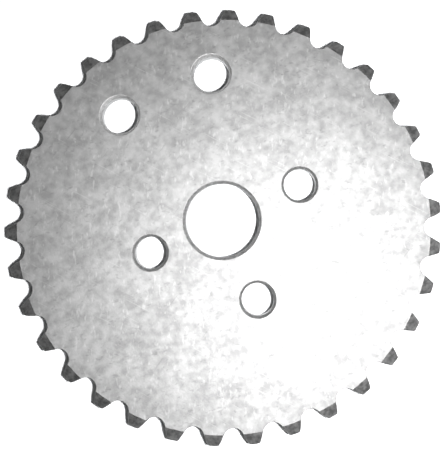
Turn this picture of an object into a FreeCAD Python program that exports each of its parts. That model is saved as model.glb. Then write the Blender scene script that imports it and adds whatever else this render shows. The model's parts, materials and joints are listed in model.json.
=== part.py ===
import FreeCAD, Part
import math
import os

import Sketcher
from FreeCAD import Vector

# Timing chain sprocket: one flat steel plate with 34 teeth for a bush chain of 6.35 mm pitch.
#
# It is made here as it is made in a shop: a disc is turned with its bore, its bore chamfers and the bevels
# of its rim, the tooth gaps are cut through it, and the holes are drilled and chamfered on both faces.
#
# Frame: the origin is the centre of the bore on the back face, and +Z runs along the bore to the front face.
# A tooth gap is centred on +Y, between the two outer holes, and a tooth is centred on +X.

SIZES = {
    # chain and teeth
    "chain_pitch": 6.35,
    "chain_bush_diameter": 3.30,
    "tooth_count": 34,
    "tip_diameter": 71.2,
    "tip_corner_radius": 0.40,
    # seat radius as a share of the bush, and half the arc that the bush sits on, in degrees
    "seat_share": 0.505,
    "seat_half_angle": 66.0,
    # radius of the convex tooth flank, as a share of the bush times the tooth count plus 2
    "flank_share": 0.12,
    # plate, with a bevel of this width and depth round the teeth on both faces
    "plate_thickness": 2.5,
    "bevel_width": 1.8,
    "bevel_depth": 0.45,
    # centre bore
    "bore_diameter": 12.0,
    "bore_chamfer": 0.45,
    # three bolt holes: two at the far radius, on +X and -Y, and one at the near radius, on -X
    "bolt_hole_diameter": 5.2,
    "bolt_hole_chamfer": 0.40,
    "bolt_far_radius": 14.0,
    "bolt_near_radius": 12.8,
    # two outer holes, at this angle in degrees on each side of +Y
    "outer_hole_diameter": 6.0,
    "outer_hole_chamfer": 0.45,
    "outer_hole_radius": 24.5,
    "outer_hole_half_angle": 20.0,
    # how far the gap cutter runs past the tooth tips
    "cutter_overrun": 1.0,
}

NODE = "timing_sprocket"

# Lengths worked out from the sizes, as expressions for the document.
PITCH_RADIUS = "Sizes.chain_pitch / (2 * sin(180 deg / Sizes.tooth_count))"
SEAT_RADIUS = "Sizes.chain_bush_diameter * Sizes.seat_share"
FLANK_RADIUS = "Sizes.chain_bush_diameter * Sizes.flank_share * (Sizes.tooth_count + 2)"
OUTER_HOLE_X = "Sizes.outer_hole_radius * sin(Sizes.outer_hole_half_angle * 1 deg)"
OUTER_HOLE_Y = "Sizes.outer_hole_radius * cos(Sizes.outer_hole_half_angle * 1 deg)"

# Numbers that the sketcher uses for a point of an edge, and for the sketch's own origin and axes.
START = 1
END = 2
CENTRE = 3
ORIGIN = (-1, 1)
X_AXIS = -1
Y_AXIS = -2

# Two lengths closer than this are the same, in mm.
TOLERANCE = 1e-4
# A cut may differ from its worked out volume by this share.
VOLUME_TOLERANCE = 1e-3

# The plate has a front and a back face.
FACES = 2


def make_sheet(doc):
    sheet = doc.addObject("Spreadsheet::Sheet", "Sizes")
    for row, (alias, value) in enumerate(SIZES.items(), start=1):
        sheet.set(f"A{row}", alias)
        sheet.set(f"B{row}", str(value))
        sheet.setAlias(f"B{row}", alias)
    return sheet


def origin_feature(body, role):
    return next(item for item in body.Origin.OriginFeatures if item.Role == role)


def make_sketch(body, name, plane):
    sketch = body.newObject("Sketcher::SketchObject", name)
    sketch.AttachmentSupport = [(origin_feature(body, plane), "")]
    sketch.MapMode = "FlatFace"
    return sketch


def constrain(sketch, kind, *references):
    return sketch.addConstraint(Sketcher.Constraint(kind, *references))


def drive(sketch, name, expression, kind, *references):
    """Add a named dimension and bind it to an expression; the last reference is its starting value."""
    index = constrain(sketch, kind, *references)
    sketch.renameConstraint(index, name)
    sketch.setExpression(f"Constraints.{name}", expression)


def arc(centre, radius, first_angle, last_angle):
    circle = Part.Circle(Vector(*centre, 0), Vector(0, 0, 1), radius)
    return Part.ArcOfCircle(circle, first_angle, last_angle)


def line(first, last):
    return Part.LineSegment(Vector(*first, 0), Vector(*last, 0))


def direction(centre, point):
    """Angle of the ray from centre to point."""
    return math.atan2(point[1] - centre[1], point[0] - centre[0])


def make_disc(body):
    """Turn the disc: a half section with bevels at the rim and chamfers at the bore, revolved about Z."""
    sketch = make_sketch(body, "disc_section", "XZ_Plane")
    wall = SIZES["bore_diameter"] / 2
    chamfer = SIZES["bore_chamfer"]
    rim = SIZES["tip_diameter"] / 2
    face_edge = rim - SIZES["bevel_width"]
    depth = SIZES["bevel_depth"]
    top = SIZES["plate_thickness"]
    corners = [
        (wall + chamfer, 0),
        (face_edge, 0),
        (rim, depth),
        (rim, top - depth),
        (face_edge, top),
        (wall + chamfer, top),
        (wall, top - chamfer),
        (wall, chamfer),
    ]
    for first, last in zip(corners, corners[1:] + corners[:1]):
        sketch.addGeometry(line(first, last), False)
    back, back_bevel, land, front_bevel, front, front_chamfer, bore, back_chamfer = range(len(corners))
    for edge in range(len(corners)):
        constrain(sketch, "Coincident", edge, END, (edge + 1) % len(corners), START)
    constrain(sketch, "PointOnObject", back, START, X_AXIS)
    constrain(sketch, "Horizontal", back)
    constrain(sketch, "Horizontal", front)
    constrain(sketch, "Vertical", land)
    constrain(sketch, "Vertical", bore)
    drive(sketch, "thickness", "Sizes.plate_thickness", "DistanceY", *ORIGIN, front, START, top)
    drive(sketch, "tip_radius", "Sizes.tip_diameter / 2", "DistanceX", *ORIGIN, land, START, rim)
    drive(sketch, "bore_radius", "Sizes.bore_diameter / 2", "DistanceX", *ORIGIN, bore, START, wall)
    # each sloped edge: its name, its number, its ends in order of X and in order of Z, and its two sizes
    slopes = [
        ("back_bevel", back_bevel, (START, END), (START, END), "bevel_width", "bevel_depth"),
        ("front_bevel", front_bevel, (END, START), (START, END), "bevel_width", "bevel_depth"),
        ("back_chamfer", back_chamfer, (START, END), (END, START), "bore_chamfer", "bore_chamfer"),
        ("front_chamfer", front_chamfer, (END, START), (END, START), "bore_chamfer", "bore_chamfer"),
    ]
    for name, edge, (near, far), (low, high), width, height in slopes:
        drive(sketch, f"{name}_width", f"Sizes.{width}", "DistanceX", edge, near, edge, far, SIZES[width])
        drive(sketch, f"{name}_height", f"Sizes.{height}", "DistanceY", edge, low, edge, high, SIZES[height])

    disc = body.newObject("PartDesign::Revolution", "disc")
    disc.Profile = sketch
    disc.ReferenceAxis = (sketch, ["V_Axis"])
    disc.Angle = 360
    return disc


def circles_cross(first_centre, first_radius, second_centre, second_radius):
    """The crossing of two circles on the left of the ray from the first centre to the second."""
    span = math.dist(first_centre, second_centre)
    along = (first_radius ** 2 - second_radius ** 2 + span ** 2) / (2 * span)
    aside = math.sqrt(first_radius ** 2 - along ** 2)
    ray = direction(first_centre, second_centre)
    x = first_centre[0] + along * math.cos(ray) - aside * math.sin(ray)
    y = first_centre[1] + along * math.sin(ray) + aside * math.cos(ray)
    return (x, y)


def make_gap_sketch(body):
    """One tooth gap on +Y: the bush seat, a convex flank and a rounded tooth corner on each side."""
    sketch = make_sketch(body, "gap_outline", "XY_Plane")
    teeth = SIZES["tooth_count"]
    tip = SIZES["tip_diameter"] / 2
    overrun = SIZES["cutter_overrun"]
    seat_radius = SIZES["chain_bush_diameter"] * SIZES["seat_share"]
    flank_radius = SIZES["chain_bush_diameter"] * SIZES["flank_share"] * (teeth + 2)
    corner_radius = SIZES["tip_corner_radius"]
    half_angle = math.radians(SIZES["seat_half_angle"])
    pitch_radius = SIZES["chain_pitch"] / (2 * math.sin(math.pi / teeth))

    # right-hand side, from the seat outwards; angles are measured from +X
    seat = (0.0, pitch_radius)
    seat_end = half_angle - math.pi / 2
    reach = seat_radius + flank_radius
    flank = (reach * math.sin(half_angle), pitch_radius - reach * math.cos(half_angle))
    corner = circles_cross((0.0, 0.0), tip - corner_radius, flank, flank_radius - corner_radius)
    flank_foot = math.pi + seat_end
    flank_top = direction(flank, corner)
    corner_top = direction((0.0, 0.0), corner)
    tip_point = (tip * math.cos(corner_top), tip * math.sin(corner_top))
    far_point = ((tip + overrun) * math.cos(corner_top), (tip + overrun) * math.sin(corner_top))

    right = [
        arc(flank, flank_radius, flank_top, flank_foot),
        arc(corner, corner_radius, corner_top, flank_top),
        line(tip_point, far_point),
    ]
    left = [
        arc((-flank[0], flank[1]), flank_radius, math.pi - flank_foot, math.pi - flank_top),
        arc((-corner[0], corner[1]), corner_radius, math.pi - flank_top, math.pi - corner_top),
        line((-tip_point[0], tip_point[1]), (-far_point[0], far_point[1])),
    ]
    seat_arc = sketch.addGeometry(arc(seat, seat_radius, math.pi - seat_end, 2 * math.pi + seat_end), False)
    right_flank, right_corner, right_side = [sketch.addGeometry(item, False) for item in right]
    left_flank, left_corner, left_side = [sketch.addGeometry(item, False) for item in left]
    closing = sketch.addGeometry(line(far_point, (-far_point[0], far_point[1])), False)
    tip_circle = sketch.addGeometry(Part.Circle(Vector(0, 0, 0), Vector(0, 0, 1), tip), True)

    constrain(sketch, "PointOnObject", seat_arc, CENTRE, Y_AXIS)
    constrain(sketch, "Horizontal", seat_arc, START, seat_arc, END)
    drive(sketch, "pitch_radius", PITCH_RADIUS, "DistanceY", *ORIGIN, seat_arc, CENTRE, pitch_radius)
    drive(sketch, "seat_radius", SEAT_RADIUS, "Radius", seat_arc, seat_radius)
    drive(sketch, "seat_angle", "Sizes.seat_half_angle * 2 deg", "Angle", seat_arc, 2 * half_angle)
    constrain(sketch, "Coincident", tip_circle, CENTRE, *ORIGIN)
    drive(sketch, "tip_radius", "Sizes.tip_diameter / 2", "Radius", tip_circle, tip)

    constrain(sketch, "Tangent", seat_arc, END, right_flank, END)
    constrain(sketch, "Tangent", right_flank, START, right_corner, END)
    constrain(sketch, "Perpendicular", right_corner, START, right_side, START)
    constrain(sketch, "Tangent", seat_arc, START, left_flank, START)
    constrain(sketch, "Tangent", left_flank, END, left_corner, START)
    constrain(sketch, "Perpendicular", left_corner, END, left_side, START)
    constrain(sketch, "Coincident", closing, START, right_side, END)
    constrain(sketch, "Coincident", closing, END, left_side, END)
    for side in (right_side, left_side):
        constrain(sketch, "PointOnObject", side, START, tip_circle)
        constrain(sketch, "PointOnObject", *ORIGIN, side)
    constrain(sketch, "Equal", right_flank, left_flank)
    constrain(sketch, "Equal", right_corner, left_corner)
    constrain(sketch, "Equal", right_side, left_side)
    drive(sketch, "flank_radius", FLANK_RADIUS, "Radius", right_flank, flank_radius)
    drive(sketch, "corner_radius", "Sizes.tip_corner_radius", "Radius", right_corner, corner_radius)
    drive(sketch, "overrun", "Sizes.cutter_overrun", "Distance", right_side, overrun)
    return sketch


def cut_through(body, name, sketch):
    """Cut a sketch on the back face through the plate, towards +Z."""
    pocket = body.newObject("PartDesign::Pocket", name)
    pocket.Profile = sketch
    pocket.Type = "ThroughAll"
    pocket.Reversed = True
    return pocket


def repeat_round_bore(body, feature):
    pattern = body.newObject("PartDesign::PolarPattern", "tooth_gaps")
    pattern.Originals = [feature]
    pattern.Axis = (origin_feature(body, "Z_Axis"), [""])
    pattern.Angle = 360
    pattern.setExpression("Occurrences", "Sizes.tooth_count")
    body.Tip = pattern
    return pattern


def add_circle(sketch, centre, diameter):
    return sketch.addGeometry(Part.Circle(Vector(*centre, 0), Vector(0, 0, 1), diameter / 2), False)


def hole_centres():
    """Centres of the holes in the plane of the plate, by the name of their sizes."""
    far = SIZES["bolt_far_radius"]
    near = SIZES["bolt_near_radius"]
    angle = math.radians(SIZES["outer_hole_half_angle"])
    x = SIZES["outer_hole_radius"] * math.sin(angle)
    y = SIZES["outer_hole_radius"] * math.cos(angle)
    return {
        "bolt_hole": [(far, 0), (0, -far), (-near, 0)],
        "outer_hole": [(x, y), (-x, y)],
    }


def make_bolt_hole_sketch(body):
    sketch = make_sketch(body, "bolt_hole_circles", "XY_Plane")
    diameter = SIZES["bolt_hole_diameter"]
    far = SIZES["bolt_far_radius"]
    near = SIZES["bolt_near_radius"]
    right, bottom, left = [add_circle(sketch, centre, diameter) for centre in hole_centres()["bolt_hole"]]
    constrain(sketch, "PointOnObject", right, CENTRE, X_AXIS)
    constrain(sketch, "PointOnObject", bottom, CENTRE, Y_AXIS)
    constrain(sketch, "PointOnObject", left, CENTRE, X_AXIS)
    constrain(sketch, "Equal", right, bottom)
    constrain(sketch, "Equal", right, left)
    drive(sketch, "diameter", "Sizes.bolt_hole_diameter", "Diameter", right, diameter)
    drive(sketch, "right_radius", "Sizes.bolt_far_radius", "DistanceX", *ORIGIN, right, CENTRE, far)
    drive(sketch, "bottom_radius", "Sizes.bolt_far_radius", "DistanceY", bottom, CENTRE, *ORIGIN, far)
    drive(sketch, "left_radius", "Sizes.bolt_near_radius", "DistanceX", left, CENTRE, *ORIGIN, near)
    return sketch


def make_outer_hole_sketch(body):
    sketch = make_sketch(body, "outer_hole_circles", "XY_Plane")
    diameter = SIZES["outer_hole_diameter"]
    centres = hole_centres()["outer_hole"]
    right, left = [add_circle(sketch, centre, diameter) for centre in centres]
    constrain(sketch, "Equal", right, left)
    constrain(sketch, "Symmetric", right, CENTRE, left, CENTRE, Y_AXIS)
    drive(sketch, "diameter", "Sizes.outer_hole_diameter", "Diameter", right, diameter)
    drive(sketch, "across", OUTER_HOLE_X, "DistanceX", *ORIGIN, right, CENTRE, centres[0][0])
    drive(sketch, "outwards", OUTER_HOLE_Y, "DistanceY", *ORIGIN, right, CENTRE, centres[0][1])
    return sketch


def hole_mouths(shape, hole):
    """Names of the circular edges where these holes meet the two faces of the plate."""
    radius = SIZES[f"{hole}_diameter"] / 2
    names = []
    for number, edge in enumerate(shape.Edges, start=1):
        if not isinstance(edge.Curve, Part.Circle) or abs(edge.Curve.Radius - radius) > TOLERANCE:
            continue
        centre = (edge.Curve.Center.x, edge.Curve.Center.y)
        if min(math.dist(centre, place) for place in hole_centres()[hole]) < TOLERANCE:
            names.append(f"Edge{number}")
    return names


def chamfer_mouths(body, name, feature, hole):
    chamfer = body.newObject("PartDesign::Chamfer", name)
    chamfer.Base = (feature, hole_mouths(feature.Shape, hole))
    chamfer.setExpression("Size", f"Sizes.{hole}_chamfer")
    return chamfer


def check_removed(before, after, expected, what):
    """Stop unless a cut took away the volume it should."""
    removed = before.Shape.Volume - after.Shape.Volume
    if abs(removed - expected) > VOLUME_TOLERANCE * expected:
        raise RuntimeError(f"{what}: removed {removed:.3f} mm3, expected {expected:.3f} mm3")


def drilled_volume(hole):
    diameter = SIZES[f"{hole}_diameter"]
    return len(hole_centres()[hole]) * math.pi / 4 * diameter ** 2 * SIZES["plate_thickness"]


def chamfered_volume(hole):
    """Rings of triangular section, whose centroid is a third of the chamfer outside the hole's wall."""
    chamfer = SIZES[f"{hole}_chamfer"]
    section = chamfer ** 2 / 2
    path = 2 * math.pi * (SIZES[f"{hole}_diameter"] / 2 + chamfer / 3)
    return FACES * len(hole_centres()[hole]) * section * path


def make_sprocket(doc):
    body = doc.addObject("PartDesign::Body", NODE)
    body.Label = NODE
    disc = make_disc(body)
    doc.recompute()

    first_gap = cut_through(body, "first_gap", make_gap_sketch(body))
    doc.recompute()
    gap_volume = disc.Shape.Volume - first_gap.Shape.Volume
    if gap_volume <= 0:
        raise RuntimeError("the first tooth gap removed nothing")
    gaps = repeat_round_bore(body, first_gap)
    doc.recompute()
    check_removed(disc, gaps, gap_volume * SIZES["tooth_count"], "tooth gaps")

    bolt_holes = cut_through(body, "bolt_holes", make_bolt_hole_sketch(body))
    doc.recompute()
    check_removed(gaps, bolt_holes, drilled_volume("bolt_hole"), "bolt holes")
    outer_holes = cut_through(body, "outer_holes", make_outer_hole_sketch(body))
    doc.recompute()
    check_removed(bolt_holes, outer_holes, drilled_volume("outer_hole"), "outer holes")

    bolt_chamfers = chamfer_mouths(body, "bolt_hole_chamfers", outer_holes, "bolt_hole")
    doc.recompute()
    check_removed(outer_holes, bolt_chamfers, chamfered_volume("bolt_hole"), "bolt hole chamfers")
    outer_chamfers = chamfer_mouths(body, "outer_hole_chamfers", bolt_chamfers, "outer_hole")
    doc.recompute()
    check_removed(bolt_chamfers, outer_chamfers, chamfered_volume("outer_hole"), "outer hole chamfers")
    body.Tip = outer_chamfers
    return body


def check_document(doc):
    for item in doc.Objects:
        if "Invalid" in item.State or "Error" in item.State:
            raise RuntimeError(f"{item.Name} failed: {item.State}")
        if item.TypeId == "Sketcher::SketchObject" and not item.FullyConstrained:
            raise RuntimeError(f"{item.Name} isn't fully constrained")


def main():
    os.makedirs("parts", exist_ok=True)
    doc = FreeCAD.newDocument("timing_sprocket_part")
    make_sheet(doc)
    doc.recompute()
    sprocket = make_sprocket(doc)
    doc.recompute()
    check_document(doc)
    shape = sprocket.Shape
    if shape.isNull() or not shape.isValid() or len(shape.Solids) != 1:
        raise RuntimeError("the sprocket isn't one valid solid")
    shape.exportStep(f"parts/{sprocket.Label}.step")
    box = shape.BoundBox
    print(f"{sprocket.Label}: {shape.Volume:.1f} mm3, {len(shape.Faces)} faces, "
          f"{box.XLength:.2f} x {box.YLength:.2f} x {box.ZLength:.2f} mm")


main()
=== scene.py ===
import json
import math
from collections import namedtuple

import bmesh
import bpy
from mathutils import Matrix, Vector
from mathutils.geometry import delaunay_2d_cdt


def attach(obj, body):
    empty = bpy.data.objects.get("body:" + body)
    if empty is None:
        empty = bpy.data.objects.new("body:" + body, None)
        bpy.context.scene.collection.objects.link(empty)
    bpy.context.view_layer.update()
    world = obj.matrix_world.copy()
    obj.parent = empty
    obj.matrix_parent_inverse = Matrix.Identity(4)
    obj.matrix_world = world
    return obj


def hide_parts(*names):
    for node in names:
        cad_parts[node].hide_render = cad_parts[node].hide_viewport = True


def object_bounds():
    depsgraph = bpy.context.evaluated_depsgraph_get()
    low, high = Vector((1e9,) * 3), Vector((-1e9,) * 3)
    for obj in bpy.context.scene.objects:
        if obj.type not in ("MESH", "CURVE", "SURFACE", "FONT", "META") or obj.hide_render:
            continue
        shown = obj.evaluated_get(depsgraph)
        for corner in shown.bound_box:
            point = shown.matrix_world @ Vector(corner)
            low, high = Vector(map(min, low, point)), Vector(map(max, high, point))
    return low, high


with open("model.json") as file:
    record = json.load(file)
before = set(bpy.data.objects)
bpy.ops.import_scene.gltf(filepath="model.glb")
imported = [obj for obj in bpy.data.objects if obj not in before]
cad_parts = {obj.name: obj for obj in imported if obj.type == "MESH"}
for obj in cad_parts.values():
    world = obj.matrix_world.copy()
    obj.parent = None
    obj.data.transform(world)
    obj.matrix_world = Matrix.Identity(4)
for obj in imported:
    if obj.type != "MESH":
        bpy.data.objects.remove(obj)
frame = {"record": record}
cad_low, cad_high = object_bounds()

# Timing chain sprocket: one flat steel plate with 34 teeth, lying on its back face.
#
# The CAD solid is replaced by a mesh of the same shape whose edges are broken as they are on a real plate.
# Lengths in this script are millimetres; MM turns them into the scene's metres.

MM = 0.001

# Sizes that the frame gives.
MOUNTS = {mount["name"]: mount for mount in frame["record"]["mounts"]}
TOOTH_COUNT = MOUNTS["chain_teeth"]["dims"]["count"]
TIP_RADIUS = cad_high.x / MM
THICKNESS = (cad_high.z - cad_low.z) / MM

# Tooth form, as in the CAD model: bush seat, convex flank, rounded corner, turned land.
CHAIN_PITCH = 6.35
SEAT_RADIUS = 1.6665
SEAT_HALF_ANGLE = math.radians(66.0)
FLANK_RADIUS = 14.256
CORNER_RADIUS = 0.40
BEVEL_WIDTH = 1.8
BEVEL_DEPTH = 0.45
BORE_CHAMFER_WIDTH = 0.45
BOLT_CHAMFER_WIDTH = 0.40
OUTER_CHAMFER_WIDTH = 0.45

# Worked out from those.
PITCH_ANGLE = 2 * math.pi / TOOTH_COUNT
PITCH_RADIUS = CHAIN_PITCH / (2 * math.sin(PITCH_ANGLE / 2))
BEVEL_START = TIP_RADIUS - BEVEL_WIDTH
BEVEL_SLOPE = BEVEL_DEPTH / BEVEL_WIDTH

# Edge breaks left by tumbling: round the teeth, at the holes, and where the bevel meets the face.
EDGE_BREAK = 0.09
HOLE_EDGE_BREAK = 0.07
BEVEL_BLEND = 0.05

# Middle of a broken edge at a hole: how far it lies beyond the corner along the face or the wall, and how far
# off that surface, as shares of the break's reach.
BREAK_ALONG = 0.10
BREAK_OFF = 0.35

# How finely the outline of a tooth, its walls, the holes and the flats are divided.
SEAT_STEPS = 9
FLANK_STEPS = 5
CORNER_STEPS = 4
LAND_STEPS = 10
EDGE_STEPS = 3
WALL_STEPS = 4
BORE_STEPS = 96
BOLT_STEPS = 56
OUTER_STEPS = 64
HOLE_WALL_PARTS = 3
FACE_GRID = 1.3

# How closely points are found, welded and told apart.
HALVINGS = 40
WELD_DISTANCE = 1e-4
SAME_POINT = 1e-6

# Finishes, by the place of their material in the mesh. Inner chamfers are those of the bore and bolt holes;
# they and the outer chamfers are one chamfer finish in two tones, painted shade at the inner holes and
# painted light at the outer ones.
FACE, TURNED, INNER_CHAMFER, OUTER_CHAMFER, CUT, RUBBED = range(6)


# ---------------------------------------------------------------- outline of the teeth

def polar(radius, angle):
    return (radius * math.cos(angle), radius * math.sin(angle))


def spread(first, last, steps):
    """The values from first to last in equal steps, without the last one."""
    return [first + (last - first) * step / steps for step in range(steps)]


def outer_crossing(centre, radius, about_origin):
    """Where a circle crosses the circle of another radius about the origin, on the side of the gap."""
    span = centre.length
    along = (about_origin ** 2 - radius ** 2 + span ** 2) / (2 * span)
    aside = math.sqrt(about_origin ** 2 - along ** 2)
    ray = centre / span
    return along * ray + aside * Vector((-ray.y, ray.x))


def make_tooth_arcs():
    """The three arcs of half a tooth, as (centre, radius, side, first turn, last turn).

    They run from the bottom of a gap to the start of the land, in the gap's own axes: x across the gap, and
    y outwards along its middle. Side is 1 where moving the outline into the steel makes the arc larger.
    """
    seat = Vector((0.0, PITCH_RADIUS))
    reach = SEAT_RADIUS + FLANK_RADIUS
    flank = Vector((reach * math.sin(SEAT_HALF_ANGLE), PITCH_RADIUS - reach * math.cos(SEAT_HALF_ANGLE)))
    corner = outer_crossing(flank, FLANK_RADIUS - CORNER_RADIUS, TIP_RADIUS - CORNER_RADIUS)
    seat_end = SEAT_HALF_ANGLE - math.pi / 2
    flank_top = math.atan2(corner.y - flank.y, corner.x - flank.x) % (2 * math.pi)
    corner_top = math.atan2(corner.y, corner.x)
    return [
        (seat, SEAT_RADIUS, 1, -math.pi / 2, seat_end),
        (flank, FLANK_RADIUS, -1, seat_end + math.pi, flank_top),
        (corner, CORNER_RADIUS, -1, flank_top, corner_top),
    ]


TOOTH_ARCS = make_tooth_arcs()
# Places on half a tooth count the arcs: 0 to 1 is the seat, 1 to 2 the flank, and 2 to 3 the corner.
FLANK_TOP = 2.0
CORNER_TOP = 3.0
# Index in half a tooth of the point where the blend into the bevel begins.
BLEND_INDEX = SEAT_STEPS


def tooth_point(inset, place):
    """Point at a place on half a tooth whose outline is moved into the steel by inset."""
    number = min(int(place), len(TOOTH_ARCS) - 1)
    centre, radius, side, first, last = TOOTH_ARCS[number]
    turn = first + (last - first) * (place - number)
    return centre + (radius + side * inset) * Vector((math.cos(turn), math.sin(turn)))


def place_at_radius(inset, radius):
    """The place on half a tooth that is this far from the bore's axis, by halving."""
    low, high = 0.0, CORNER_TOP
    for _ in range(HALVINGS):
        middle = (low + high) / 2
        if tooth_point(inset, middle).length < radius:
            low = middle
        else:
            high = middle
    return low


def half_tooth(inset):
    """Half of one tooth's outline as (radius, angle from the middle of the gap), from the gap's bottom up."""
    start, edge, end = [place_at_radius(inset, BEVEL_START + step * BEVEL_BLEND) for step in (-1, 0, 1)]
    places = spread(0.0, start, SEAT_STEPS) + [start, edge] + spread(end, FLANK_TOP, FLANK_STEPS)
    places += spread(FLANK_TOP, CORNER_TOP, CORNER_STEPS) + [CORNER_TOP]
    points = [tooth_point(inset, place) for place in places]
    return [(point.length, math.pi / 2 - math.atan2(point.y, point.x)) for point in points]


def tooth_rows(inset):
    """Left half of a tooth's outline as (radius, angle) with the angle measured from the tooth's middle."""
    return [(radius, PITCH_ANGLE / 2 - angle) for radius, angle in half_tooth(inset)]


def outline(inset):
    """The whole outline, counter-clockwise from the gap before the tooth on +X, as (radius, angle)."""
    rows = tooth_rows(inset)
    land_radius, land_half = rows[-1]
    one_tooth = [(radius, -half) for radius, half in rows]
    one_tooth += [(land_radius, angle) for angle in spread(-land_half, land_half, LAND_STEPS)[1:]]
    one_tooth += [(radius, half) for radius, half in reversed(rows[1:])]
    points = []
    for tooth in range(TOOTH_COUNT):
        middle = tooth * PITCH_ANGLE
        points += [(radius, middle + angle) for radius, angle in one_tooth]
    return points


def face_height(radius):
    """Height of the front surface above the plate's middle plane: flat, then a blend, then the bevel."""
    past = radius - (BEVEL_START - BEVEL_BLEND)
    if past <= 0:
        drop = 0.0
    elif past < 2 * BEVEL_BLEND:
        drop = BEVEL_SLOPE * past ** 2 / (4 * BEVEL_BLEND)
    else:
        drop = BEVEL_SLOPE * (past - BEVEL_BLEND)
    return THICKNESS / 2 - drop


# ---------------------------------------------------------------- mesh

class Skin:
    """Faces gathered from several surfaces that meet edge to edge."""

    def __init__(self):
        self.mesh = bmesh.new()

    def point(self, x, y, height):
        return self.mesh.verts.new((x * MM, y * MM, (height + THICKNESS / 2) * MM))

    def ring(self, points):
        return [self.point(*point) for point in points]

    def face(self, corners, finish):
        face = self.mesh.faces.new(corners)
        face.material_index = finish
        face.smooth = True

    def band(self, first, second, finish, closed=True):
        """Quads between two rows of points of the same length."""
        for index in range(len(first) if closed else len(first) - 1):
            after = (index + 1) % len(first)
            self.face((first[index], first[after], second[after], second[index]), finish)

    def close(self):
        """Weld the surfaces where they meet and make sure that they enclose one solid."""
        bmesh.ops.remove_doubles(self.mesh, verts=self.mesh.verts, dist=WELD_DISTANCE * MM)
        bmesh.ops.recalc_face_normals(self.mesh, faces=self.mesh.faces)
        if any(not edge.is_manifold for edge in self.mesh.edges):
            raise RuntimeError("the sprocket's surface has a gap")
        if self.mesh.calc_volume(signed=True) < 0:
            bmesh.ops.reverse_faces(self.mesh, faces=self.mesh.faces)

    def normals(self):
        """Shading normals: where finishes meet, the one listed first keeps its surface undistorted."""
        normals = []
        for corner in self.mesh.verts:
            first = min(face.material_index for face in corner.link_faces)
            total = Vector((0, 0, 0))
            for face in corner.link_faces:
                if face.material_index == first:
                    total += face.normal * face.calc_area()
            normals.append(total.normalized())
        return normals


def quarter(steps):
    """Sine and cosine at equal steps over a quarter turn, both ends included."""
    return [(math.sin(turn), math.cos(turn)) for turn in spread(0, math.pi / 2, steps) + [math.pi / 2]]


def edge_levels():
    """Inset of the outline, and drop below the surface, down a tooth's broken edge."""
    return [(EDGE_BREAK * (1 - across), EDGE_BREAK * (1 - down)) for across, down in quarter(EDGE_STEPS)]


def add_tooth_walls(skin):
    """The rim's wall between the two faces, with a broken edge at each."""
    levels = edge_levels()
    rings = []
    for inset, drop in levels:
        rings.append([(*polar(r, a), face_height(r) - drop) for r, a in outline(inset)])
    wall = outline(0.0)
    for share in spread(1.0, -1.0, WALL_STEPS)[1:]:
        rings.append([(*polar(r, a), share * (face_height(r) - EDGE_BREAK)) for r, a in wall])
    for inset, drop in reversed(levels):
        rings.append([(*polar(r, a), drop - face_height(r)) for r, a in outline(inset)])
    rows = [skin.ring(ring) for ring in rings]
    for index, (upper, lower) in enumerate(zip(rows, rows[1:])):
        broken = index < EDGE_STEPS or index >= len(rows) - 1 - EDGE_STEPS
        skin.band(upper, lower, RUBBED if broken else CUT)


def add_bevels(skin, side):
    """The bevelled tip of every tooth on one face; side is 1 for the front and -1 for the back."""
    rows = tooth_rows(EDGE_BREAK)[BLEND_INDEX:]
    for tooth in range(TOOTH_COUNT):
        middle = tooth * PITCH_ANGLE
        lines = []
        for radius, half in rows:
            angles = [middle + angle for angle in spread(-half, half, LAND_STEPS) + [half]]
            lines.append(skin.ring([(*polar(radius, a), side * face_height(radius)) for a in angles]))
        for lower, upper in zip(lines, lines[1:]):
            skin.band(lower, upper, TURNED, closed=False)


class RoundHole:
    """A drilled hole with a chamfer on both faces and broken edges."""

    def __init__(self, place, radius, chamfer, finish, steps):
        self.place = place
        self.radius = radius
        self.chamfer = chamfer
        self.finish = finish
        self.steps = steps
        self.mouth = radius + chamfer + HOLE_EDGE_BREAK

    def section(self):
        """Half section from the front face to the middle, as (radius, height, finish of the band below)."""
        top = THICKNESS / 2
        reach = HOLE_EDGE_BREAK * math.sqrt(0.5)
        outer = self.radius + self.chamfer
        wall_top = top - self.chamfer
        return [
            (self.mouth, top, self.finish),
            (outer + reach * BREAK_ALONG, top - reach * BREAK_OFF, self.finish),
            (outer - reach, top - reach, self.finish),
            (self.radius + reach, wall_top + reach, self.finish),
            (self.radius + reach * BREAK_OFF, wall_top - reach * BREAK_ALONG, self.finish),
            (self.radius, wall_top - HOLE_EDGE_BREAK, CUT),
            (self.radius, wall_top / HOLE_WALL_PARTS, CUT),
        ]

    def ring_points(self, radius, height):
        angles = spread(0.0, 2 * math.pi, self.steps)
        return [(self.place.x + radius * math.cos(a), self.place.y + radius * math.sin(a), height)
                for a in angles]

    def add_walls(self, skin):
        front = self.section()
        back = [(radius, -height) for radius, height, finish in reversed(front)]
        finishes = [finish for radius, height, finish in front]
        finishes += finishes[-2::-1]
        section = [(radius, height) for radius, height, finish in front] + back
        rows = [skin.ring(self.ring_points(radius, height)) for radius, height in section]
        for upper, lower, finish in zip(rows, rows[1:], finishes):
            skin.band(upper, lower, finish)


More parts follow.
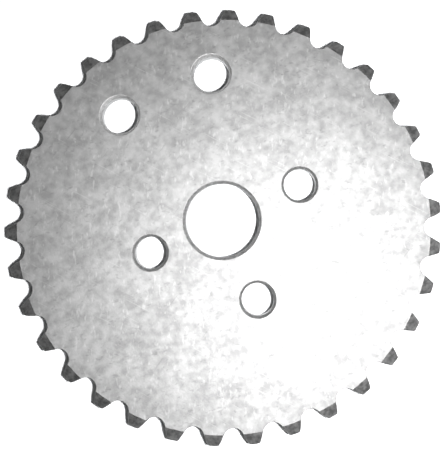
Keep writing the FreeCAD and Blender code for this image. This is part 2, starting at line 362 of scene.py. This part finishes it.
def find_holes():
    """The six openings, from the places and sizes of the record's mounts."""
    def centre(name):
        x, y, _ = MOUNTS[name]["pos_m"]
        return Vector((x / MM, y / MM))

    def pair(name):
        half = Vector((MOUNTS[name]["dims"]["spacing_x_mm"] / 2, 0))
        return [centre(name) + half, centre(name) - half]

    bore = MOUNTS["bore"]["dims"]["r_mm"]
    bolt = MOUNTS["bolt_pair"]["dims"]["hole_r_mm"]
    outer = MOUNTS["outer_pair"]["dims"]["hole_r_mm"]
    holes = [RoundHole(centre("bore"), bore, BORE_CHAMFER_WIDTH, INNER_CHAMFER, BORE_STEPS)]
    for place in pair("bolt_pair") + [centre("single_bolt_hole")]:
        holes.append(RoundHole(place, bolt, BOLT_CHAMFER_WIDTH, INNER_CHAMFER, BOLT_STEPS))
    for place in pair("outer_pair"):
        holes.append(RoundHole(place, outer, OUTER_CHAMFER_WIDTH, OUTER_CHAMFER, OUTER_STEPS))
    return holes


def flat_rim():
    """Edge of the flat part of a face: up the seats, and across each tooth where its bevel begins."""
    rows = tooth_rows(EDGE_BREAK)[:BLEND_INDEX + 1]
    radius, half = rows[-1]
    one_tooth = [(r, -h) for r, h in rows]
    one_tooth += [(radius, angle) for angle in spread(-half, half, LAND_STEPS)[1:]]
    one_tooth += [(r, h) for r, h in reversed(rows[1:])]
    return [polar(r, a + tooth * PITCH_ANGLE) for tooth in range(TOOTH_COUNT) for r, a in one_tooth]


def grid_points(holes):
    """A triangular grid over the flat part, clear of its edges."""
    clear = FACE_GRID / 2
    reach = PITCH_RADIUS - SEAT_RADIUS - clear
    row_height = FACE_GRID * math.sqrt(0.75)
    count = int(reach / row_height)
    points = []
    for row in range(-count, count + 1):
        shift = (row % 2) * FACE_GRID / 2
        for column in range(-count - 1, count + 2):
            point = Vector((column * FACE_GRID + shift, row * row_height))
            in_hole = any((point - hole.place).length < hole.mouth + clear for hole in holes)
            if point.length < reach and not in_hole:
                points.append(point)
    return points


def in_gap(point):
    """True if a point of the plane is in the open part of a tooth gap."""
    turn = math.atan2(point.y, point.x) / PITCH_ANGLE
    middle = (math.floor(turn) + 0.5) * PITCH_ANGLE
    return (point - Vector(polar(PITCH_RADIUS, middle))).length < SEAT_RADIUS + EDGE_BREAK


def divide_flat(holes):
    """Triangles of the flat part of a face, as points of the plane and corner indices."""
    loops = [flat_rim()]
    loops += [[(x, y) for x, y, _ in hole.ring_points(hole.mouth, 0.0)] for hole in holes]
    points = []
    edges = []
    for loop in loops:
        first = len(points)
        points += [Vector(point) for point in loop]
        edges += [(first + index, first + (index + 1) % len(loop)) for index in range(len(loop))]
    points += grid_points(holes)
    places, _, triangles, _, _, _ = delaunay_2d_cdt(points, edges, [], 0, SAME_POINT)
    kept = []
    for triangle in triangles:
        middle = sum((places[corner] for corner in triangle), Vector((0, 0))) / 3
        if in_gap(middle) or any((middle - hole.place).length < hole.mouth for hole in holes):
            continue
        kept.append(triangle)
    return places, kept


def add_flats(skin, holes):
    places, triangles = divide_flat(holes)
    for side in (1, -1):
        corners = [skin.point(place.x, place.y, side * THICKNESS / 2) for place in places]
        for triangle in triangles:
            skin.face([corners[index] for index in triangle], FACE)


def make_sprocket():
    holes = find_holes()
    skin = Skin()
    add_flats(skin, holes)
    add_tooth_walls(skin)
    for side in (1, -1):
        add_bevels(skin, side)
    for hole in holes:
        hole.add_walls(skin)
    skin.close()
    mesh = bpy.data.meshes.new("sprocket_plate")
    normals = skin.normals()
    skin.mesh.to_mesh(mesh)
    skin.mesh.free()
    mesh.normals_split_custom_set_from_vertices(normals)
    sprocket = bpy.data.objects.new("sprocket_plate", mesh)
    bpy.context.collection.objects.link(sprocket)
    return sprocket


# ---------------------------------------------------------------- materials

# Steel: how much of it reflects as metal, and each finish's darkest and lightest tone.
METAL = 0.9
FACE_TONES = (0.36, 0.51)
TURNED_TONES = (0.22, 0.42)
INNER_CHAMFER_SHADED_TONES = (0.25, 0.37)
# One chamfer finish in two tones: darker at the bore and bolt holes as painted shade, lighter at the outer
# holes as painted light.
OUTER_CHAMFER_LIT_TONES = (0.42, 0.54)
CUT_TONES = (0.36, 0.46)
RUBBED_TONES = (0.22, 0.36)

# Roughness of each finish, where its noise is low and where it is high.
FACE_ROUGHNESS = (0.60, 0.58)
TURNED_ROUGHNESS = (0.37, 0.44)
CHAMFER_ROUGHNESS = (0.52, 0.62)
CUT_ROUGHNESS = (0.48, 0.62)
RUBBED_ROUGHNESS = (0.58, 0.68)

# Depth of the relief, in millimetres.
MOTTLE_DEPTH = 0.020
GRAIN_DEPTH = 0.010
FINE_DEPTH = 0.004
WEAR_DEPTH = 0.003

# Nearly all of a soft noise lies between these.
NOISE_LOW = 0.3
NOISE_HIGH = 0.7

# Patches of the finest grain, in millimetres.
GRAIN_SIZE = 0.35

# Marks on the face: size along and across in millimetres, turn in radians, the noise level where a mark
# begins and where it is full, its strength there, and its tone.
Mark = namedtuple("Mark", "along across turn begins full strength tone")
LIGHT_FLECKS = Mark(0.50, 1.20, 0.4, 0.62, 0.74, 0.45, 0.66)
DARK_FLECKS = Mark(0.90, 0.55, 0.2, 0.63, 0.75, 0.40, 0.24)
LIGHT_SCRATCHES = Mark(7.00, 0.22, 0.9, 0.70, 0.76, 0.40, 0.62)
DARK_SCRATCHES = Mark(5.00, 0.28, -0.5, 0.72, 0.80, 0.35, 0.26)

# Sockets of a colour mix: its factor, its two colours, and the result.
MIX_FACTOR, MIX_FIRST, MIX_SECOND, MIX_RESULT = 0, 6, 7, 2


def grey(level):
    return (level, level, level, 1)


class Nodes:
    """Short calls that add and join the nodes of one material or world."""

    def __init__(self, owner, shader_type="BSDF_PRINCIPLED"):
        owner.use_nodes = True
        self.owner = owner
        self.tree = owner.node_tree
        self.shader = next(node for node in self.tree.nodes if node.type == shader_type)

    def add(self, kind, inputs=None, **settings):
        node = self.tree.nodes.new(kind)
        for name, value in settings.items():
            setattr(node, name, value)
        for name, value in (inputs or {}).items():
            self.put(value, node.inputs[name])
        return node

    def put(self, value, socket):
        if isinstance(value, bpy.types.NodeSocket):
            self.tree.links.new(value, socket)
        else:
            socket.default_value = value

    def millimetres(self, stretch=(1.0, 1.0, 1.0), turn=0.0):
        """Places on the object in millimetres, turned about Z and stretched along each axis."""
        place = self.add("ShaderNodeTexCoord").outputs["Object"]
        turned = self.add("ShaderNodeMapping", {"Vector": place, "Rotation": (0, 0, turn)}).outputs[0]
        scale = tuple(1 / (MM * length) for length in stretch)
        return self.add("ShaderNodeMapping", {"Vector": turned, "Scale": scale}).outputs[0]

    def noise(self, place, size, detail=1.0, distortion=0.0):
        """Soft noise from 0 to 1 whose patches are about this size, in millimetres."""
        inputs = {"Vector": place, "Scale": 1 / size, "Detail": detail, "Roughness": 0.5,
                  "Distortion": distortion}
        return self.add("ShaderNodeTexNoise", inputs).outputs[0]

    def remap(self, value, low, high, new_low=0.0, new_high=1.0):
        inputs = {"Value": value, "From Min": low, "From Max": high, "To Min": new_low, "To Max": new_high}
        return self.add("ShaderNodeMapRange", inputs).outputs[0]

    def blend(self, share, first, second):
        node = self.add("ShaderNodeMix", data_type="RGBA")
        self.put(share, node.inputs[MIX_FACTOR])
        self.put(first, node.inputs[MIX_FIRST])
        self.put(second, node.inputs[MIX_SECOND])
        return node.outputs[MIX_RESULT]

    def blend_tones(self, share, tones):
        """Grey between a finish's darkest and lightest tone."""
        darkest, lightest = tones
        return self.blend(share, grey(darkest), grey(lightest))

    def mix_of(self, *parts):
        """The sum of several values, each times its own share."""
        total = 0.0
        for value, share in parts:
            node = self.add("ShaderNodeMath", operation="MULTIPLY_ADD")
            self.put(value, node.inputs[0])
            self.put(share, node.inputs[1])
            self.put(total, node.inputs[2])
            total = node.outputs[0]
        return total

    def bump(self, height, depth, normal=None):
        """Relief this deep, in millimetres, for a height from 0 to 1."""
        node = self.add("ShaderNodeBump", {"Height": height, "Distance": depth * MM, "Strength": 1.0})
        if normal is not None:
            self.put(normal, node.inputs["Normal"])
        return node.outputs[0]

    def steel(self, colour, roughness_noise, roughness, normal):
        """Finish a steel material whose roughness follows a noise between two values."""
        varied = self.remap(roughness_noise, NOISE_LOW, NOISE_HIGH, *roughness)
        self.put(METAL, self.shader.inputs["Metallic"])
        self.put(colour, self.shader.inputs["Base Color"])
        self.put(varied, self.shader.inputs["Roughness"])
        self.put(normal, self.shader.inputs["Normal"])
        return self.owner


def face_material():
    """Ground plate, tumbled: soft patches of several sizes, light and dark flecks, a few scratches."""
    nodes = Nodes(bpy.data.materials.new("tumbled_plate_face"))
    place = nodes.millimetres()
    clouds = nodes.noise(place, size=7.0)
    blotches = nodes.noise(place, size=2.6)
    mottle = nodes.noise(place, size=1.1, distortion=0.2)
    grain = nodes.noise(place, size=GRAIN_SIZE)
    tone = nodes.mix_of((clouds, 0.20), (blotches, 0.35), (mottle, 0.35), (grain, 0.10))
    colour = nodes.blend_tones(nodes.remap(tone, low=0.40, high=0.60), FACE_TONES)
    for mark in (LIGHT_FLECKS, DARK_FLECKS, LIGHT_SCRATCHES, DARK_SCRATCHES):
        place = nodes.millimetres(stretch=(mark.along, mark.across, 1.0), turn=mark.turn)
        streaks = nodes.noise(place, size=1.0)
        share = nodes.remap(streaks, mark.begins, mark.full, 0.0, mark.strength)
        colour = nodes.blend(share, colour, grey(mark.tone))
    normal = nodes.bump(grain, GRAIN_DEPTH, nodes.bump(mottle, MOTTLE_DEPTH))
    return nodes.steel(colour, mottle, FACE_ROUGHNESS, normal)


def turned_material():
    """Turned bevels: darker and smoother than the face."""
    nodes = Nodes(bpy.data.materials.new("turned_bevel"))
    place = nodes.millimetres()
    patches = nodes.noise(place, size=0.9)
    grain = nodes.noise(place, size=GRAIN_SIZE)
    tone = nodes.mix_of((patches, 0.6), (grain, 0.4))
    colour = nodes.blend_tones(nodes.remap(tone, low=0.38, high=0.62), TURNED_TONES)
    return nodes.steel(colour, patches, TURNED_ROUGHNESS, nodes.bump(grain, FINE_DEPTH))


def chamfer_material(name, tones):
    """Countersunk chamfers: painted light makes them about as light as the face at the outer holes, and
    painted shade makes them darker at the others.
    """
    nodes = Nodes(bpy.data.materials.new(name))
    grain = nodes.noise(nodes.millimetres(), size=0.5, detail=3.0)
    colour = nodes.blend_tones(nodes.remap(grain, low=0.35, high=0.65), tones)
    return nodes.steel(colour, grain, CHAMFER_ROUGHNESS, nodes.bump(grain, FINE_DEPTH))


def cut_material():
    """Cut walls of the teeth and holes: fine lines along Z."""
    nodes = Nodes(bpy.data.materials.new("cut_wall"))
    lines = nodes.noise(nodes.millimetres(stretch=(0.12, 0.12, 2.5)), size=1.0, detail=2.0)
    colour = nodes.blend_tones(lines, CUT_TONES)
    return nodes.steel(colour, lines, CUT_ROUGHNESS, nodes.bump(lines, FINE_DEPTH))


def rubbed_material():
    """Edges of the teeth that tumbling has rubbed smooth."""
    nodes = Nodes(bpy.data.materials.new("rubbed_edge"))
    wear = nodes.noise(nodes.millimetres(), size=0.8, detail=3.0)
    colour = nodes.blend_tones(wear, RUBBED_TONES)
    return nodes.steel(colour, wear, RUBBED_ROUGHNESS, nodes.bump(wear, WEAR_DEPTH))


# ---------------------------------------------------------------- stage, lights and camera

# White paper just below the plate, its two tones, and the glow that it is given further out.
PAPER_SIZE = 4000
PAPER_GAP = 0.02
PAPER_DARKEST = (0.87, 0.88, 0.89, 1)
PAPER_LIGHTEST = (0.90, 0.91, 0.92, 1)
PAPER_ROUGHNESS = 0.9
GLOW_BEGINS = 70
GLOW_FULL = 200
GLOW_STRENGTH = 0.7

# Surround: the way to its bright side, its strength on the far side and on the bright one, the share of that
# at the horizon, the heights between which that share fades out, and the strength overhead. A height is the
# sine of the angle upwards.
BRIGHT_SIDE = (0.94, -0.10, 0.0)
DIM_STRENGTH = 0.28
BRIGHT_STRENGTH = 1.4
HORIZON_SHARE = 0.95
HORIZON_HEIGHT = 0.05
FADED_HEIGHT = 0.55
OVERHEAD_STRENGTH = 0.02

# Camera: lens, sensor, and nearest distance in millimetres. The shift is for an off-centre picture, in shares
# of its longer side.
LENS = 49.332
SENSOR_WIDTH = 36.0
SHIFT_X = -0.0440
SHIFT_Y = -0.1290
NEAREST = 1
CAMERA_PLACE = (4.539, -5.141, 104.824)
CAMERA_AIM = (6.650, 6.080, 2.5)
CAMERA_ROLL = math.radians(24.641)


def make_floor():
    bpy.ops.mesh.primitive_plane_add(size=PAPER_SIZE * MM, location=(0, 0, -PAPER_GAP * MM))
    floor = bpy.context.object
    floor.name = "paper_floor"
    nodes = Nodes(bpy.data.materials.new("white_paper"))
    fibre = nodes.noise(nodes.millimetres(), size=0.5, detail=3.0)
    nodes.put(nodes.blend(fibre, PAPER_DARKEST, PAPER_LIGHTEST), nodes.shader.inputs["Base Color"])
    nodes.put(PAPER_ROUGHNESS, nodes.shader.inputs["Roughness"])
    # the lamps stand close, so further out the paper is given a glow that keeps it pale
    place = nodes.add("ShaderNodeTexCoord").outputs["Object"]
    distance = nodes.add("ShaderNodeVectorMath", {"Vector": place}, operation="LENGTH").outputs["Value"]
    glow = nodes.remap(distance, GLOW_BEGINS * MM, GLOW_FULL * MM, 0.0, GLOW_STRENGTH)
    nodes.put(grey(1.0), nodes.shader.inputs["Emission Color"])
    nodes.put(glow, nodes.shader.inputs["Emission Strength"])
    floor.data.materials.append(nodes.owner)


def make_world():
    """Soft studio surround: dark overhead, bright near the horizon and most of all on the lights' side."""
    world = bpy.data.worlds.new("studio")
    bpy.context.scene.world = world
    nodes = Nodes(world, "BACKGROUND")
    direction = nodes.add("ShaderNodeTexCoord").outputs["Generated"]
    height = nodes.add("ShaderNodeSeparateXYZ", {"Vector": direction}).outputs["Z"]
    towards = nodes.add("ShaderNodeVectorMath", operation="DOT_PRODUCT")
    nodes.put(direction, towards.inputs[0])
    nodes.put(BRIGHT_SIDE, towards.inputs[1])
    side = nodes.remap(towards.outputs["Value"], -1.0, 1.0, DIM_STRENGTH, BRIGHT_STRENGTH)
    low = nodes.remap(height, HORIZON_HEIGHT, FADED_HEIGHT, HORIZON_SHARE, 0.0)
    nodes.put(nodes.mix_of((1.0, OVERHEAD_STRENGTH), (side, low)), nodes.shader.inputs["Strength"])
    nodes.put(grey(1.0), nodes.shader.inputs["Color"])


def look_from(item, place, aim, roll):
    """Put an object at place, facing aim, turned about its line of sight from having +Y upwards."""
    forward = (aim - place).normalized()
    right = forward.cross(Vector((0, 1, 0))).normalized()
    up = right.cross(forward)
    top = up * math.cos(roll) + right * math.sin(roll)
    side = forward.cross(top)
    item.matrix_world = Matrix((
        (side.x, top.x, -forward.x, place.x),
        (side.y, top.y, -forward.y, place.y),
        (side.z, top.z, -forward.z, place.z),
        (0, 0, 0, 1),
    ))


def make_light(name, place, size, energy):
    """A round light that faces the origin; its place and its size across are in millimetres."""
    data = bpy.data.lights.new(name, "AREA")
    data.shape = "DISK"
    data.size = size * MM
    data.energy = energy
    light = bpy.data.objects.new(name, data)
    bpy.context.collection.objects.link(light)
    look_from(light, Vector(place) * MM, Vector((0, 0, 0)), 0.0)
    return light


def make_lights():
    """A small key for the paper and its shadows, and a broad light for the sheen on the steel."""
    key = make_light("key", place=(26.3, -21.5, 104.8), size=12, energy=0.27)
    sheen = make_light("sheen", place=(10.5, -24.5, 105.0), size=50, energy=0.165)
    key.visible_glossy = False
    sheen.visible_diffuse = False


def make_camera():
    """About 100 mm above the plate; the shift gives the picture's off-centre framing."""
    data = bpy.data.cameras.new("camera")
    data.lens = LENS
    data.sensor_width = SENSOR_WIDTH
    data.shift_x = SHIFT_X
    data.shift_y = SHIFT_Y
    data.clip_start = NEAREST * MM
    camera = bpy.data.objects.new("camera", data)
    bpy.context.collection.objects.link(camera)
    look_from(camera, Vector(CAMERA_PLACE) * MM, Vector(CAMERA_AIM) * MM, CAMERA_ROLL)
    bpy.context.scene.camera = camera


make_camera()
make_world()
make_lights()
make_floor()
bpy.context.scene.view_settings.view_transform = "Standard"

# in the order of the finishes' numbers
plate = make_sprocket()
plate.data.materials.append(face_material())
plate.data.materials.append(turned_material())
plate.data.materials.append(chamfer_material("inner_chamfer_painted_shade", INNER_CHAMFER_SHADED_TONES))
plate.data.materials.append(chamfer_material("outer_chamfer_painted_light", OUTER_CHAMFER_LIT_TONES))
plate.data.materials.append(cut_material())
plate.data.materials.append(rubbed_material())
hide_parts("timing_sprocket")
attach(plate, "root")
